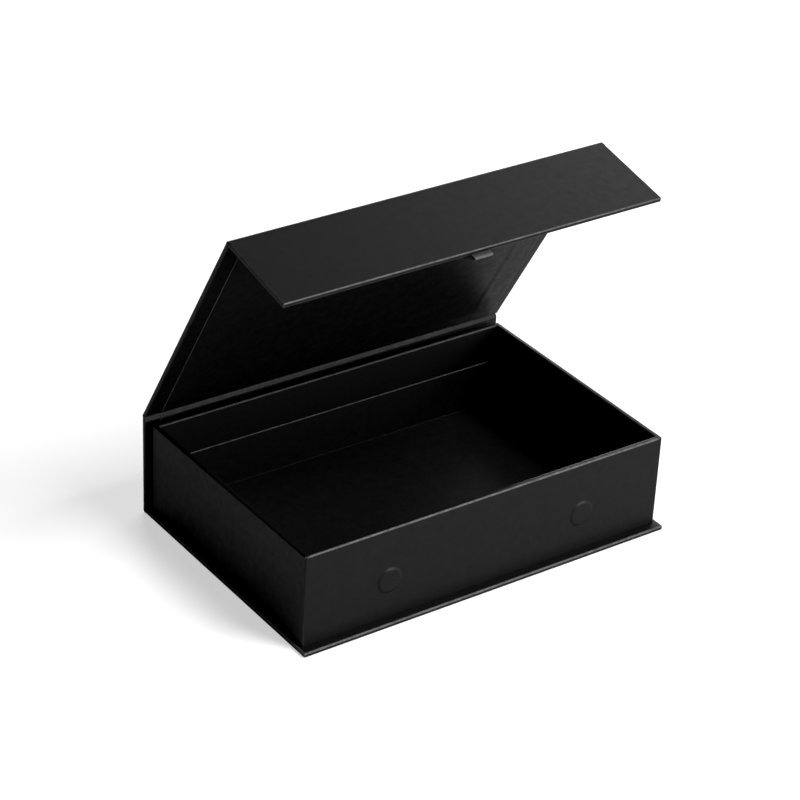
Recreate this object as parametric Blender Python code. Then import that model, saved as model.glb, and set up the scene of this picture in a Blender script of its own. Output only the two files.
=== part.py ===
"""Rigid gift box: four wrapped boards, joined by paper folds, close like a book round a wrapped tray."""

import math

import bmesh
import bpy
from mathutils import Matrix

# Driving sizes, in metres. The tray stands on the base; X runs along its front, Y to its back, Z up.
TRAY_WIDTH = 0.225
TRAY_DEPTH = 0.146
TRAY_HEIGHT = 0.053
FLAP_LENGTH = 0.052
SIDE_OVERHANG = 0.0023      # cover beyond the tray at each side
FRONT_OVERHANG = 0.0055     # base beyond the tray's front wall
SPINE_SETOFF = 0.0056       # outer face of the upright spine behind the tray
FLAP_SETOFF = 0.007         # outer face of the closed flap in front of the tray
CLOSED_GAP = 0.0006         # closed lid above the tray's rim

# Angles at rest, in degrees
SPINE_LEAN = 1.0            # spine back from upright
LID_RISE = 60.0             # lid up from level
FLAP_SPREAD = 18.0          # flap out from square to the lid

# Sheets
COVER_BOARD = 0.002
TRAY_BOARD = 0.002
FLOOR_BOARD = 0.003
PAPER = 0.00025
LINER = 0.00025
TRAY_LINER = 0.0004
TAPE = 0.00012

# Clearances
GLUE_GAP = 0.0001           # between sheets that are glued together
SEAM_GAP = 0.00002          # between a fold's paper and the panels beside it
FOLD_CLEAR = 0.0004         # between two boards at a folded corner
FOOT_LINER_CLEAR = 0.0003   # lining behind the tray
SEAT_CLEAR = 0.00015        # round a disc or magnet in its pocket
CUT_OVERRUN = 0.002         # cutters beyond the faces that they cut

# Cover details
EDGE_SETBACK = 0.0018       # base and lid boards from a fold's corner
EDGE_RADIUS = 0.0006        # paper round a board's edge
FOLD_RADIUS = 0.0015        # paper round a fold
LINER_BEND = 0.0005         # lining in an inner corner
COVER_TURN_IN = 0.022
LINER_INSET_LEFT = 0.0095
LINER_INSET_RIGHT = 0.0063
LINER_INSET_FREE = 0.004    # from the flap's free edge
CREASE_LINER = 0.004        # lining of the flap's crease, from its corner
GROOVE_PULL = 0.0017        # how far the groove at the lid's fold is drawn in
GROOVE_STEPS = 10
FOLD_STEPS = 6

# Tray details
RIM_TURN_IN = 0.026
LINER_DROP = 0.022          # rim down to the liner's top edge
BOTTOM_TURN_IN = 0.018
TAPE_LEG = 0.018
TAPE_DROP = 0.003           # corner tape from the board's top and bottom

# Closure details
DISC_RADIUS = 0.0065
DISC_THICK = 0.0015
DISC_SPACING = 0.122
DISC_DROP = 0.0308          # rim down to the discs' centres
DISC_SIDES = 48
SHARP_ANGLE = math.radians(40)
WELD = 0.000002
BUMP_RISE = 0.00045
BUMP_SHOULDER = 0.0006
MAGNET_RADIUS = 0.0065
MAGNET_THICK = 0.0015
RIBBON_WIDTH = 0.012
RIBBON_THICK = 0.0003
RIBBON_TONGUE = 0.009       # glued between the flap's wrap and liner
RIBBON_REACH = 0.004        # beyond the flap's free edge
RIBBON_LOOP = 0.0018        # height of the loop
RIBBON_STEPS = 16

COVER_WIDTH = TRAY_WIDTH + 2 * SIDE_OVERHANG
BOARD_INSET = PAPER + GLUE_GAP
COVER_THICK = 2 * BOARD_INSET + COVER_BOARD
PANEL_THICK = COVER_THICK + GLUE_GAP + LINER
FOLD_SETBACK = PANEL_THICK + FOLD_CLEAR
RIBBON_BED = RIBBON_THICK + 2 * GLUE_GAP
BASE_DEPTH = FRONT_OVERHANG + TRAY_DEPTH + SPINE_SETOFF
TRAY_FLOOR_Z = COVER_THICK + GLUE_GAP
SPINE_LENGTH = TRAY_FLOOR_Z + TRAY_HEIGHT + CLOSED_GAP + PANEL_THICK
LID_LENGTH = SPINE_SETOFF + TRAY_DEPTH + FLAP_SETOFF
TRAY_SKIN = PAPER + GLUE_GAP + TAPE + GLUE_GAP
TRAY_WALL = TRAY_SKIN + TRAY_BOARD + GLUE_GAP + PAPER
TRAY_FRONT = FRONT_OVERHANG - BASE_DEPTH / 2
TRAY_BACK = TRAY_FRONT + TRAY_DEPTH

# Turn of each panel from in line with the one before it
FOOT_TURN = 90.0 - SPINE_LEAN
LID_TURN = 90.0 + SPINE_LEAN - LID_RISE
FLAP_TURN = 90.0 - FLAP_SPREAD


def clear_scene():
    for item in list(bpy.data.objects):
        bpy.data.objects.remove(item, do_unlink=True)


def new_collection(name):
    group = bpy.data.collections.new(name)
    bpy.context.scene.collection.children.link(group)
    return group


def new_material(name, colour, roughness, metallic=0.0):
    finish = bpy.data.materials.new(name)
    finish.use_nodes = True
    shader = finish.node_tree.nodes["Principled BSDF"]
    shader.inputs["Base Color"].default_value = (*colour, 1.0)
    shader.inputs["Roughness"].default_value = roughness
    shader.inputs["Metallic"].default_value = metallic
    return finish


FINISHES = {
    "wrap": ((0.022, 0.022, 0.023), 0.62, 0.0),
    "lining": ((0.018, 0.018, 0.019), 0.7, 0.0),
    "board": ((0.30, 0.28, 0.25), 0.9, 0.0),
    "tape": ((0.55, 0.47, 0.34), 0.8, 0.0),
    "steel": ((0.56, 0.57, 0.58), 0.35, 1.0),
    "nickel": ((0.62, 0.61, 0.58), 0.2, 1.0),
    "ribbon": ((0.03, 0.03, 0.032), 0.45, 0.0),
}


def finish_object(item, finish, frame):
    """Gives an object its own material and hangs it on its frame, or makes it a cutter."""
    if finish is None:
        CUTTERS.objects.link(item)
        item.hide_render = True
        item.display_type = "WIRE"
    else:
        PARTS.objects.link(item)
        item.data.materials.append(new_material(item.name, *FINISHES[finish]))
    item.parent = frame
    return item


def mesh_object(name, shape, finish, frame):
    mesh = bpy.data.meshes.new(name)
    shape.to_mesh(mesh)
    shape.free()
    return finish_object(bpy.data.objects.new(name, mesh), finish, frame)


def block(name, low, high, finish=None, frame=None, rounded=None):
    """A box between two corners. rounded picks the edges, by their middle, that get the paper's radius."""
    size = [b - a for a, b in zip(low, high)]
    middle = [(a + b) / 2 for a, b in zip(low, high)]
    shape = bmesh.new()
    bmesh.ops.create_cube(shape, size=1.0, matrix=Matrix.Translation(middle) @ Matrix.Diagonal((*size, 1.0)))
    if rounded:
        edges = [e for e in shape.edges if rounded((e.verts[0].co + e.verts[1].co) / 2)]
        bmesh.ops.bevel(shape, geom=edges, offset=EDGE_RADIUS, segments=3, profile=0.5, affect="EDGES")
    return mesh_object(name, shape, finish, frame)


def disc(name, centre, low, high, radius, along="Y", finish=None, frame=None, foot_radius=None):
    """A cylinder between two heights along Y or Z, or a cone when its wider foot is given."""
    middle = (low + high) / 2
    if along == "Y":
        place = Matrix.Translation((centre[0], middle, centre[1])) @ Matrix.Rotation(math.radians(90), 4, "X")
    else:
        place = Matrix.Translation((*centre, middle))
    shape = bmesh.new()
    bmesh.ops.create_cone(
        shape,
        cap_ends=True,
        segments=DISC_SIDES,
        radius1=foot_radius or radius,
        radius2=radius,
        depth=high - low,
        matrix=place,
    )
    item = mesh_object(name, shape, finish, frame)
    item.data.shade_smooth()
    item.data.set_sharp_from_angle(angle=SHARP_ANGLE)
    return item


def prism(name, outlines, x_from, x_to, finish=None, frame=None):
    """Closed outlines in the Y-Z plane, extruded along X."""
    curve = bpy.data.curves.new(name, "CURVE")
    curve.dimensions = "2D"
    curve.fill_mode = "BOTH"
    curve.extrude = (x_to - x_from) / 2
    for outline in outlines:
        spline = curve.splines.new("POLY")
        spline.points.add(len(outline) - 1)
        for point, (y, z) in zip(spline.points, outline):
            point.co = (y, z, 0, 1)
        spline.use_cyclic_u = True
    draft = bpy.data.objects.new(name + "_outline", curve)
    mesh = bpy.data.meshes.new_from_object(draft)
    bpy.data.objects.remove(draft)
    # The curve's X, Y and Z run along the frame's Y, Z and X.
    turn = Matrix(((0, 0, 1), (1, 0, 0), (0, 1, 0))).to_4x4()
    shape = bmesh.new()
    shape.from_mesh(mesh)
    bmesh.ops.remove_doubles(shape, verts=shape.verts, dist=WELD)
    bmesh.ops.transform(shape, matrix=Matrix.Translation(((x_from + x_to) / 2, 0, 0)) @ turn, verts=shape.verts)
    bmesh.ops.recalc_face_normals(shape, faces=shape.faces)
    return mesh_object(name, shape, finish, frame)


def boolean(item, other, operation="DIFFERENCE"):
    step = item.modifiers.new(other.name, "BOOLEAN")
    step.operation = operation
    step.solver = "EXACT"
    step.object = other


def sheet_outline(path, thickness):
    """The outline of a sheet whose outer face follows the path, with the sheet on its left."""
    inner = []
    for i, (y, z) in enumerate(path):
        before = path[max(i - 1, 0)]
        after = path[min(i + 1, len(path) - 1)]
        run = math.hypot(after[0] - before[0], after[1] - before[1])
        dy, dz = (after[0] - before[0]) / run, (after[1] - before[1]) / run
        inner.append((y - dz * thickness, z + dy * thickness))
    return list(path) + inner[::-1]


def on_panel(corner, turn, along, depth):
    """A point on the panel beyond a fold, at a depth under its outer face."""
    angle = math.radians(turn)
    return (
        -corner - along * math.cos(angle) + depth * math.sin(angle),
        -along * math.sin(angle) - depth * math.cos(angle),
    )


def bent_path(corner, before, after, turn, depth, radius):
    """A fold from the side, at a depth under the outer face: a straight arm, an arc, a straight arm."""
    angle = math.radians(turn)
    reach = (depth + radius) * math.tan(angle / 2)
    path = [(before - corner, -depth)]
    for i in range(FOLD_STEPS + 1):
        a = angle * i / FOLD_STEPS
        path.append((reach - corner - radius * math.sin(a), radius * (math.cos(a) - 1) - depth))
    path.append(on_panel(corner, turn, after, depth))
    return path


def groove_path(corner, before, after, turn, depth):
    """A sheet over the groove between two panels: it is drawn in on a curve with one control point."""
    start = (before - corner, -depth)
    end = on_panel(corner, turn, after, depth)
    half = math.radians(turn) / 2
    control = (
        (start[0] + end[0]) / 2 - GROOVE_PULL * math.sin(half),
        (start[1] + end[1]) / 2 + GROOVE_PULL * math.cos(half),
    )
    path = []
    for i in range(GROOVE_STEPS + 1):
        t = i / GROOVE_STEPS
        weights = ((1 - t) ** 2, 2 * t * (1 - t), t**2)
        path.append(tuple(sum(w * p[k] for w, p in zip(weights, (start, control, end))) for k in (0, 1)))
    return path


# Every cover panel has its outer face at Z = 0 of its own frame and runs from its fold towards -Y.
def cover_span(length, near, far, free_end):
    return -near, -length if free_end else -(length - far)


def cover_wrap(name, frame, length, near, far, free_end):
    """Paper round a board: the outer sheet, its side edges and the turned-in margins of the inner face."""
    start, stop = cover_span(length, near, far, free_end)
    side = COVER_WIDTH / 2

    def folded(middle):
        at_start = abs(middle.y - start) < EDGE_RADIUS
        at_stop = abs(middle.y - stop) < EDGE_RADIUS
        return not at_start and (free_end or not at_stop)

    sheet = block(name, (-side, stop, -COVER_THICK), (side, start, 0), "wrap", frame, folded)
    bed_stop = stop + PAPER if free_end else stop - CUT_OVERRUN
    bed = block(
        name + "_bed",
        (-side + PAPER, bed_stop, PAPER - COVER_THICK),
        (side - PAPER, start + CUT_OVERRUN, -PAPER),
        frame=frame,
    )
    open_stop = stop + COVER_TURN_IN if free_end else stop - CUT_OVERRUN
    opening = block(
        name + "_opening",
        (-side + COVER_TURN_IN, open_stop, -COVER_THICK - CUT_OVERRUN),
        (side - COVER_TURN_IN, start + CUT_OVERRUN, -COVER_THICK + PAPER + COVER_BOARD / 2),
        frame=frame,
    )
    boolean(sheet, bed)
    boolean(sheet, opening)
    return sheet


def cover_board(name, frame, length, near, far, free_end):
    start, stop = cover_span(length, near, far, free_end)
    side = COVER_WIDTH / 2 - BOARD_INSET
    low_y = stop + BOARD_INSET if free_end else stop
    return block(name, (-side, low_y, BOARD_INSET - COVER_THICK), (side, start, -BOARD_INSET), "board", frame)


def cover_liner(name, frame, length, near, far, lift=GLUE_GAP):
    top = -COVER_THICK - lift
    left, right = LINER_INSET_LEFT - COVER_WIDTH / 2, COVER_WIDTH / 2 - LINER_INSET_RIGHT
    return block(name, (left, -(length - far), top - LINER), (right, -near, top), "lining", frame)


def fold_paper(name, frame, length, before, after, turn):
    """The bare outer sheet between two panels, held in the frame of the first."""
    side = COVER_WIDTH / 2
    path = bent_path(length, before - SEAM_GAP, after - SEAM_GAP, turn, 0, FOLD_RADIUS)
    return prism(name, [sheet_outline(path, PAPER)], -side, side, "wrap", frame)


def fold_liner(name, frame, path):
    left, right = LINER_INSET_LEFT - COVER_WIDTH / 2, COVER_WIDTH / 2 - LINER_INSET_RIGHT
    return prism(name, [sheet_outline(path, LINER)], left, right, "lining", frame)


def grooved_paper(name, frame, length, before, after, turn):
    """A fold's outer sheet with its turned-in margins, which cross the groove on the inner side."""
    side = COVER_WIDTH / 2
    before, after = before - SEAM_GAP, after - SEAM_GAP
    outer = bent_path(length, before, after, turn, 0, FOLD_RADIUS)
    margin = groove_path(length, before, after, turn, COVER_THICK - PAPER)
    outer_back = sheet_outline(outer, PAPER)[len(outer):]
    margin_back = sheet_outline(margin, PAPER)[len(margin):]
    depths = (PAPER, COVER_THICK - PAPER, 2 * COVER_THICK)
    ends = [
        [(before + CUT_OVERRUN - length, -depth) for depth in depths],
        [on_panel(length, turn, after + CUT_OVERRUN, depth) for depth in depths],
    ]
    near, far = ends
    sheet = prism(name, [outer + margin_back], -side, side, "wrap", frame)
    bed = [near[1], *margin, far[1], far[0], *outer_back, near[0]]
    opening = [near[2], far[2], far[0], *outer_back, near[0]]
    boolean(sheet, prism(name + "_bed", [bed], -side + PAPER, side - PAPER, frame=frame))
    boolean(sheet, prism(name + "_opening", [opening], -side + COVER_TURN_IN, side - COVER_TURN_IN, frame=frame))
    return sheet


def new_frame(name, parent, y, z, turn):
    """An empty on a fold's axis, which the panel beyond the fold hangs on."""
    frame = bpy.data.objects.new(name, None)
    PARTS.objects.link(frame)
    frame.parent = parent
    frame.location = (0, y, z)
    frame.rotation_euler = (math.radians(turn), 0, 0)
    return frame


def build_base():
    # The base faces down, so its frame is turned over about Y.
    frame = new_frame("base_frame", None, BASE_DEPTH / 2, 0, 0)
    frame.rotation_euler = (0, math.radians(180), 0)
    span = (BASE_DEPTH, EDGE_SETBACK, 0, True)
    cover_wrap("base_wrap", frame, *span)
    cover_board("base_board", frame, *span)


def build_spine():
    foot = new_frame("foot_axis", None, BASE_DEPTH / 2, 0, FOOT_TURN - 180.0)
    span = (SPINE_LENGTH, FOLD_SETBACK, FOLD_SETBACK, False)
    cover_wrap("spine_wrap", foot, *span)
    cover_board("spine_board", foot, *span)
    cover_liner("spine_liner", foot, SPINE_LENGTH, FOLD_SETBACK, FOLD_SETBACK)
    # The foot's fold has the same shape as the others, in a frame whose -Y runs down the spine.
    under = new_frame("foot_fold_frame", foot, 0, 0, 0)
    under.rotation_euler = (0, 0, math.radians(180))
    fold_paper("foot_fold_paper", under, 0, FOLD_SETBACK, EDGE_SETBACK, FOOT_TURN)
    reach = SPINE_SETOFF - FOOT_LINER_CLEAR
    path = bent_path(0, FOLD_SETBACK - SEAM_GAP, reach, FOOT_TURN, COVER_THICK + GLUE_GAP, LINER_BEND)
    # In that frame left and right are swapped.
    side = COVER_WIDTH / 2
    liner = sheet_outline(path, LINER)
    prism("foot_fold_liner", [liner], LINER_INSET_RIGHT - side, side - LINER_INSET_LEFT, "lining", under)
    return foot


def build_lid(foot):
    lid = new_frame("lid_axis", foot, -SPINE_LENGTH, 0, LID_TURN)
    span = (LID_LENGTH, EDGE_SETBACK, EDGE_SETBACK, False)
    cover_wrap("lid_wrap", lid, *span)
    cover_board("lid_board", lid, *span)
    cover_liner("lid_liner", lid, LID_LENGTH, EDGE_SETBACK, CREASE_LINER)
    grooved_paper("lid_fold_paper", foot, SPINE_LENGTH, FOLD_SETBACK, EDGE_SETBACK, LID_TURN)
    near, far = FOLD_SETBACK - SEAM_GAP, EDGE_SETBACK - SEAM_GAP
    fold_liner("lid_fold_liner", foot, groove_path(SPINE_LENGTH, near, far, LID_TURN, COVER_THICK + GLUE_GAP))
    return lid


def build_flap(lid):
    flap = new_frame("flap_axis", lid, -LID_LENGTH, 0, FLAP_TURN)
    span = (FLAP_LENGTH, FOLD_SETBACK, 0, True)
    cover_wrap("flap_wrap", flap, *span)
    board = cover_board("flap_board", flap, *span)
    cover_liner("flap_liner", flap, FLAP_LENGTH, FOLD_SETBACK, LINER_INSET_FREE, RIBBON_BED)
    fold_paper("flap_fold_paper", lid, LID_LENGTH, EDGE_SETBACK, FOLD_SETBACK, FLAP_TURN)
    near, far = CREASE_LINER - SEAM_GAP, FOLD_SETBACK - SEAM_GAP
    depth = COVER_THICK + GLUE_GAP
    fold_liner("flap_fold_liner", lid, bent_path(LID_LENGTH, near, far, FLAP_TURN, depth, LINER_BEND))
    # On the closed box each magnet lies in front of a steel disc.
    along = SPINE_LENGTH - TRAY_FLOOR_Z - TRAY_HEIGHT + DISC_DROP
    inner_face = BOARD_INSET - COVER_THICK
    for name, sign in (("left_magnet", -1), ("right_magnet", 1)):
        centre = (sign * DISC_SPACING / 2, -along)
        top_face = inner_face + MAGNET_THICK
        pocket = disc(name + "_pocket", centre, inner_face - CUT_OVERRUN, top_face + GLUE_GAP,
                      MAGNET_RADIUS + SEAT_CLEAR, "Z", frame=flap)
        boolean(board, pocket)
        disc(name, centre, inner_face, top_face, MAGNET_RADIUS, "Z", "nickel", flap)
    build_ribbon(flap)


def build_ribbon(flap):
    """A pull loop: a tongue glued under the flap's liner, and a flat loop beyond the free edge."""
    top = -COVER_THICK - GLUE_GAP
    low = top - RIBBON_THICK
    edge = -FLAP_LENGTH
    middle_z = (top + low) / 2
    half, height = RIBBON_REACH / 2, RIBBON_LOOP / 2
    middle_y = edge - GLUE_GAP - half

    def loop_point(angle, inset):
        y = middle_y + (half - inset) * math.cos(angle)
        z = middle_z + (height - inset) * math.sin(angle)
        return y, z

    root = math.asin(RIBBON_THICK / 2 / height)
    outer = [(edge + RIBBON_TONGUE, low), (edge + RIBBON_TONGUE, top)]
    for i in range(RIBBON_STEPS + 1):
        outer.append(loop_point(root + (2 * math.pi - 2 * root) * i / RIBBON_STEPS, 0))
    hole = [loop_point(2 * math.pi * i / RIBBON_STEPS, RIBBON_THICK) for i in range(RIBBON_STEPS)]
    prism("pull_ribbon", [outer, hole], -RIBBON_WIDTH / 2, RIBBON_WIDTH / 2, "ribbon", flap)


def build_tray_boards(tray):
    side = TRAY_WIDTH / 2 - TRAY_SKIN
    low, high = BOARD_INSET, TRAY_HEIGHT - BOARD_INSET
    front, back = TRAY_FRONT + TRAY_SKIN, TRAY_BACK - TRAY_SKIN
    boards = {
        "tray_front_board": ((-side, front, low), (side, front + TRAY_BOARD, high)),
        "tray_back_board": ((-side, back - TRAY_BOARD, low), (side, back, high)),
    }
    inner_front = front + TRAY_BOARD + GLUE_GAP
    inner_back = back - TRAY_BOARD - GLUE_GAP
    boards["tray_left_board"] = ((-side, inner_front, low), (-side + TRAY_BOARD, inner_back, high))
    boards["tray_right_board"] = ((side - TRAY_BOARD, inner_front, low), (side, inner_back, high))
    inner_side = side - TRAY_BOARD - GLUE_GAP
    boards["tray_floor_board"] = ((-inner_side, inner_front, low), (inner_side, inner_back, low + FLOOR_BOARD))
    made = {name: block(name, *corners, "board", tray) for name, corners in boards.items()}
    return made["tray_front_board"]


def build_corner_tapes(tray):
    """Paper tape round each upright corner of the boards, under the wrap."""
    reach_x = TRAY_WIDTH / 2 - PAPER - GLUE_GAP
    for end, y_sign in (("front", -1), ("back", 1)):
        y = TRAY_FRONT if y_sign < 0 else TRAY_BACK
        y_out = y - y_sign * (PAPER + GLUE_GAP)
        for name, x_sign in (("left", -1), ("right", 1)):
            x_out = x_sign * reach_x
            low_z, high_z = TAPE_DROP, TRAY_HEIGHT - TAPE_DROP
            ends_x = sorted((x_out, x_out - x_sign * TAPE_LEG))
            ends_y = sorted((y_out, y_out - y_sign * TAPE_LEG))
            tape = block(f"{end}_{name}_tape", (ends_x[0], ends_y[0], low_z),
                         (ends_x[1], ends_y[1], high_z), "tape", tray)
            cut_x = sorted((x_out - x_sign * TAPE, x_out - x_sign * (TAPE_LEG + CUT_OVERRUN)))
            cut_y = sorted((y_out - y_sign * TAPE, y_out - y_sign * (TAPE_LEG + CUT_OVERRUN)))
            inside = block(f"{end}_{name}_tape_inside", (cut_x[0], cut_y[0], low_z - CUT_OVERRUN),
                           (cut_x[1], cut_y[1], high_z + CUT_OVERRUN), frame=tray)
            boolean(tape, inside)


def build_tray_wrap(tray):
    """One sheet: a margin under the floor, the outer walls, the rim, and a margin down inside."""
    half = TRAY_WIDTH / 2

    def folded(middle):
        return middle.z > EDGE_RADIUS

    wrap = block("tray_wrap", (-half, TRAY_FRONT, 0), (half, TRAY_BACK, TRAY_HEIGHT), "wrap", tray, folded)
    rise_face = TRAY_FRONT - BUMP_RISE
    disc_z = TRAY_HEIGHT - DISC_DROP
    top_radius = DISC_RADIUS + SEAT_CLEAR + PAPER
    slope = BUMP_SHOULDER / BUMP_RISE
    spots = {"left": (-DISC_SPACING / 2, disc_z), "right": (DISC_SPACING / 2, disc_z)}
    for name, centre in spots.items():
        bump = disc(name + "_bump", centre, rise_face, TRAY_FRONT + PAPER, top_radius, frame=tray,
                    foot_radius=top_radius + slope * (BUMP_RISE + PAPER))
        boolean(wrap, bump, "UNION")
    hollow = block("wall_hollow", (-half + PAPER, TRAY_FRONT + PAPER, PAPER),
                   (half - PAPER, TRAY_BACK - PAPER, TRAY_HEIGHT - PAPER), frame=tray)
    inner = TRAY_WALL - PAPER
    plug = block("rim_plug", (-half + inner, TRAY_FRONT + inner, TRAY_HEIGHT - RIM_TURN_IN),
                 (half - inner, TRAY_BACK - inner, TRAY_HEIGHT + CUT_OVERRUN), frame=tray)
    boolean(hollow, plug)
    boolean(wrap, hollow)
    mouth = block("mouth", (-half + TRAY_WALL, TRAY_FRONT + TRAY_WALL, TRAY_HEIGHT - RIM_TURN_IN - CUT_OVERRUN),
                  (half - TRAY_WALL, TRAY_BACK - TRAY_WALL, TRAY_HEIGHT + CUT_OVERRUN), frame=tray)
    boolean(wrap, mouth)
    under = block("under", (-half + BOTTOM_TURN_IN, TRAY_FRONT + BOTTOM_TURN_IN, -CUT_OVERRUN),
                  (half - BOTTOM_TURN_IN, TRAY_BACK - BOTTOM_TURN_IN, BOARD_INSET), frame=tray)
    boolean(wrap, under)
    for name, centre in spots.items():
        bed = disc(name + "_disc_bed", centre, rise_face + PAPER, TRAY_FRONT + TRAY_SKIN,
                   DISC_RADIUS + SEAT_CLEAR, frame=tray)
        boolean(wrap, bed)
    return spots, rise_face + PAPER + GLUE_GAP


def build_tray():
    tray = new_frame("tray_frame", None, 0, TRAY_FLOOR_Z, 0)
    front_board = build_tray_boards(tray)
    build_corner_tapes(tray)
    spots, disc_face = build_tray_wrap(tray)
    disc_back = disc_face + DISC_THICK
    for name, centre in spots.items():
        seat = disc(name + "_disc_seat", centre, disc_face - CUT_OVERRUN, disc_back + GLUE_GAP,
                    DISC_RADIUS + SEAT_CLEAR, frame=tray)
        boolean(front_board, seat)
        disc(name + "_steel_disc", centre, disc_face, disc_back, DISC_RADIUS, finish="steel", frame=tray)
    edge = TRAY_WALL + GLUE_GAP
    half = TRAY_WIDTH / 2
    floor = BOARD_INSET + FLOOR_BOARD + GLUE_GAP
    liner = block("tray_liner", (-half + edge, TRAY_FRONT + edge, floor),
                  (half - edge, TRAY_BACK - edge, TRAY_HEIGHT - LINER_DROP), "lining", tray)
    inside = block("tray_inside", (-half + edge + TRAY_LINER, TRAY_FRONT + edge + TRAY_LINER, floor + TRAY_LINER),
                   (half - edge - TRAY_LINER, TRAY_BACK - edge - TRAY_LINER, TRAY_HEIGHT), frame=tray)
    boolean(liner, inside)


clear_scene()
PARTS = new_collection("rigid_gift_box")
CUTTERS = new_collection("cutters")
build_base()
build_tray()
build_flap(build_lid(build_spine()))
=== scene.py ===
import math

import bpy
from mathutils import Matrix, Vector


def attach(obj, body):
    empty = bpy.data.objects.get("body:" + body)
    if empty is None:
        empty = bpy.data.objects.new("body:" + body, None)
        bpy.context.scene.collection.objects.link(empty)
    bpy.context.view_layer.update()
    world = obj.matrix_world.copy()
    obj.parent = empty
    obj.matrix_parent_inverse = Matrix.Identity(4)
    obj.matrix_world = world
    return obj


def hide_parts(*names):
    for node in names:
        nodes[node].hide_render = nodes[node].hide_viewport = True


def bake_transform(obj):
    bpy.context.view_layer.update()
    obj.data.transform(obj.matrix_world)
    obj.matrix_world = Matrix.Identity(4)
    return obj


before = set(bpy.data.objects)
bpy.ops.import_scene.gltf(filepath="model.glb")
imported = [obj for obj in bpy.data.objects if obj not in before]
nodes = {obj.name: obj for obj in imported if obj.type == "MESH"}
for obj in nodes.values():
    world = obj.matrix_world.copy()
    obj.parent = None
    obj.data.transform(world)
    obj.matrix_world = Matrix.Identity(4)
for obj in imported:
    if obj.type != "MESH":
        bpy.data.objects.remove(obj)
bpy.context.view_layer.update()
print("frame loaded:", len(nodes), "nodes")

mm = 0.001

# the cover's boards: lengths are measured from fold corner to fold corner
cover = {
    "width": 229.6 * mm,
    "thick": 2.7 * mm,
    "baseDepth": 157.1 * mm,
    "spineLength": 59.45 * mm,
    "lidLength": 158.6 * mm,
    "flapLength": 52.0 * mm,
    "boardSetback": 1.8 * mm,      # base and lid boards stop short of a fold's corner
    "foldSetback": 3.45 * mm,      # spine and flap boards do so too
    "turnIn": 22.0 * mm,
    "paper": 0.25 * mm,
    "edgeRadius": 0.75 * mm,
    "baseRadius": 1.0 * mm,
    "spineTurn": 89.0,
    "lidTurn": 31.0,
    "flapTurn": 72.0,
}


def turned(y, z, degrees):
    return Matrix.Translation((0, y, z)) @ Matrix.Rotation(math.radians(degrees), 4, "X")


# each panel's own frame: outer face at Z = 0, and it runs from its fold towards -Y
basePlace = Matrix.Translation((0, cover["baseDepth"] / 2, 0)) @ Matrix.Rotation(math.pi, 4, "Y")
spinePlace = turned(cover["baseDepth"] / 2, 0, cover["spineTurn"] - 180)
lidPlace = spinePlace @ turned(-cover["spineLength"], 0, cover["lidTurn"])
flapPlace = lidPlace @ turned(-cover["lidLength"], 0, cover["flapTurn"])
footPlace = spinePlace @ Matrix.Rotation(math.pi, 4, "Z")


# ---- modelling helpers

def deselectAll():
    if bpy.context.object and bpy.context.object.mode != "OBJECT":
        bpy.ops.object.mode_set(mode="OBJECT")
    bpy.ops.object.select_all(action="DESELECT")


def makeActive(piece):
    deselectAll()
    piece.select_set(True)
    bpy.context.view_layer.objects.active = piece


def addBlock(name, low, high):
    deselectAll()
    middle = [(a + b) / 2 for a, b in zip(low, high)]
    size = [b - a for a, b in zip(low, high)]
    bpy.ops.mesh.primitive_cube_add(size=1, location=middle, scale=size)
    return settle(name)


def addSheet(name, low, high, z):
    deselectAll()
    middle = ((low[0] + high[0]) / 2, (low[1] + high[1]) / 2, z)
    bpy.ops.mesh.primitive_plane_add(size=1, location=middle)
    bpy.context.object.scale = (high[0] - low[0], high[1] - low[1], 1)
    return settle(name)


def settle(name):
    piece = bpy.context.object
    piece.name = name
    piece.data.name = name
    bpy.ops.object.transform_apply(location=True, rotation=True, scale=True)
    return piece


def pick(piece, kind, test):
    # selects faces, edges or vertices of the piece by a test on their place and leaves it in edit mode
    makeActive(piece)
    bpy.ops.object.mode_set(mode="EDIT")
    bpy.ops.mesh.select_mode(type=kind)
    bpy.ops.mesh.select_all(action="DESELECT")
    bpy.ops.object.mode_set(mode="OBJECT")
    mesh = piece.data
    if kind == "FACE":
        for face in mesh.polygons:
            face.select = bool(test(face.center, face.normal))
    elif kind == "EDGE":
        for edge in mesh.edges:
            a, b = (mesh.vertices[i].co for i in edge.vertices)
            edge.select = bool(test((a + b) / 2, (b - a).normalized()))
    else:
        for vertex in mesh.vertices:
            vertex.select = bool(test(vertex.co))
    bpy.ops.object.mode_set(mode="EDIT")


def closeEdit():
    bpy.ops.object.mode_set(mode="OBJECT")


def cutAll(piece, point, normal):
    makeActive(piece)
    bpy.ops.object.mode_set(mode="EDIT")
    bpy.ops.mesh.select_all(action="SELECT")
    bpy.ops.mesh.bisect(plane_co=point, plane_no=normal)
    closeEdit()


def thicken(piece, thickness, even=True):
    makeActive(piece)
    step = piece.modifiers.new("thickness", "SOLIDIFY")
    step.thickness = thickness
    step.offset = -1.0
    step.use_even_offset = even
    bpy.ops.object.modifier_apply(modifier=step.name)


def softenEdges(piece, width, segments=2, degrees=35):
    makeActive(piece)
    step = piece.modifiers.new("soft edges", "BEVEL")
    step.width = width
    step.segments = segments
    step.limit_method = "ANGLE"
    step.angle_limit = math.radians(degrees)
    step.use_clamp_overlap = True
    bpy.ops.object.modifier_apply(modifier=step.name)


def smooth(piece, degrees=40, weighted=True):
    makeActive(piece)
    bpy.ops.object.shade_smooth_by_angle(angle=math.radians(degrees))
    if weighted:
        # wide flat faces keep their own normal beside their rounded edges
        step = piece.modifiers.new("flat faces", "WEIGHTED_NORMAL")
        step.mode = "FACE_AREA"
        step.weight = 100
        step.keep_sharp = True
        bpy.ops.object.modifier_apply(modifier=step.name)


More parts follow.
